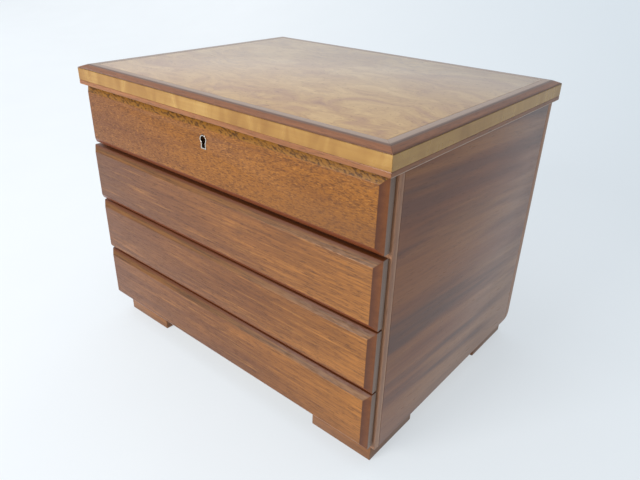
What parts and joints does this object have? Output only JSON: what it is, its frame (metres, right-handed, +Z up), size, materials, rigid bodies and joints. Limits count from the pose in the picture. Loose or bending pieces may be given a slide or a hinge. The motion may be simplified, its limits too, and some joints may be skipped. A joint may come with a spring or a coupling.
{
  "type": "jewellery chest",
  "caption": "Veneered wooden jewellery chest: a hinged lid with a box lock over a lined compartment, above a stack of bevel-fronted drawers.",
  "frame": {"origin": "under the middle of the chest, on the surface it stands on (bottom centre of the bounding box)", "axes": "+X to the right of somebody facing the drawer fronts, -Y towards that person, +Z up"},
  "size_m": [0.33, 0.259, 0.258],
  "materials": {
    "burr_veneer": "polished burr veneer",
    "maple": "polished light maple",
    "mahogany": "polished mahogany",
    "sapele": "satin ribbon-striped veneer",
    "board": "plain satin wood",
    "velvet": "velvet pile",
    "mirror": "silvered",
    "brass": "satin brass",
    "nickel": "polished nickel plate"
  },
  "bodies": {
    "case": {"case_back": "sapele", "case_base": "board", "case_side_left": "sapele", "case_side_right": "sapele", "compartment_floor": "board", "compartment_front": "board", "compartment_lining": "velvet", "dust_board_lower": "board", "dust_board_upper": "board", "false_front": "mahogany", "foot_back_left": "mahogany", "foot_back_right": "mahogany", "foot_front_left": "mahogany", "foot_front_right": "mahogany", "hinge_left_case_leaf": "brass", "hinge_right_case_leaf": "brass", "keyhole_escutcheon": "nickel", "lipping_back_left": "mahogany", "lipping_back_right": "mahogany", "lipping_front_left": "mahogany", "lipping_front_right": "mahogany", "lock_case": "brass"},
    "lid": {"lid_band_back": "maple", "lid_band_front": "maple", "lid_band_left": "maple", "lid_band_right": "maple", "lid_burr_panel": "burr_veneer", "lid_core": "board", "lid_lining": "velvet", "lid_mirror": "mirror", "lid_moulding_back": "mahogany", "lid_moulding_front": "mahogany", "lid_moulding_left": "mahogany", "lid_moulding_right": "mahogany", "lid_rail_back": "mahogany", "lid_rail_front": "mahogany", "lid_rail_left": "mahogany", "lid_rail_right": "mahogany", "hinge_left_lid_leaf": "brass", "hinge_right_lid_leaf": "brass", "lock_link_plate": "brass"},
    "drawer_lower": {"drawer_lower_back": "board", "drawer_lower_base": "board", "drawer_lower_front": "mahogany", "drawer_lower_lining": "velvet", "drawer_lower_side_left": "board", "drawer_lower_side_right": "board"},
    "drawer_middle": {"drawer_middle_back": "board", "drawer_middle_base": "board", "drawer_middle_front": "mahogany", "drawer_middle_lining": "velvet", "drawer_middle_side_left": "board", "drawer_middle_side_right": "board"},
    "drawer_upper": {"drawer_upper_back": "board", "drawer_upper_base": "board", "drawer_upper_front": "mahogany", "drawer_upper_lining": "velvet", "drawer_upper_side_left": "board", "drawer_upper_side_right": "board"},
    "lock_bolt": {"lock_bolt": "brass"}
  },
  "joints": [
    {"name": "lid_hinge", "type": "hinge", "parent": "case", "child": "lid", "pos_m": [0, 0.1215, 0.2408], "axis": [-1, 0, 0], "range_deg": [0, 105]},
    {"name": "drawer_lower_slide", "type": "slide", "parent": "case", "child": "drawer_lower", "axis": [0, -1, 0], "range_m": [0, 0.16]},
    {"name": "drawer_middle_slide", "type": "slide", "parent": "case", "child": "drawer_middle", "axis": [0, -1, 0], "range_m": [0, 0.16]},
    {"name": "drawer_upper_slide", "type": "slide", "parent": "case", "child": "drawer_upper", "axis": [0, -1, 0], "range_m": [0, 0.16]},
    {"name": "lock_bolt_slide", "type": "slide", "parent": "case", "child": "lock_bolt", "axis": [1, 0, 0], "range_m": [0, 0.004]}
  ]
}
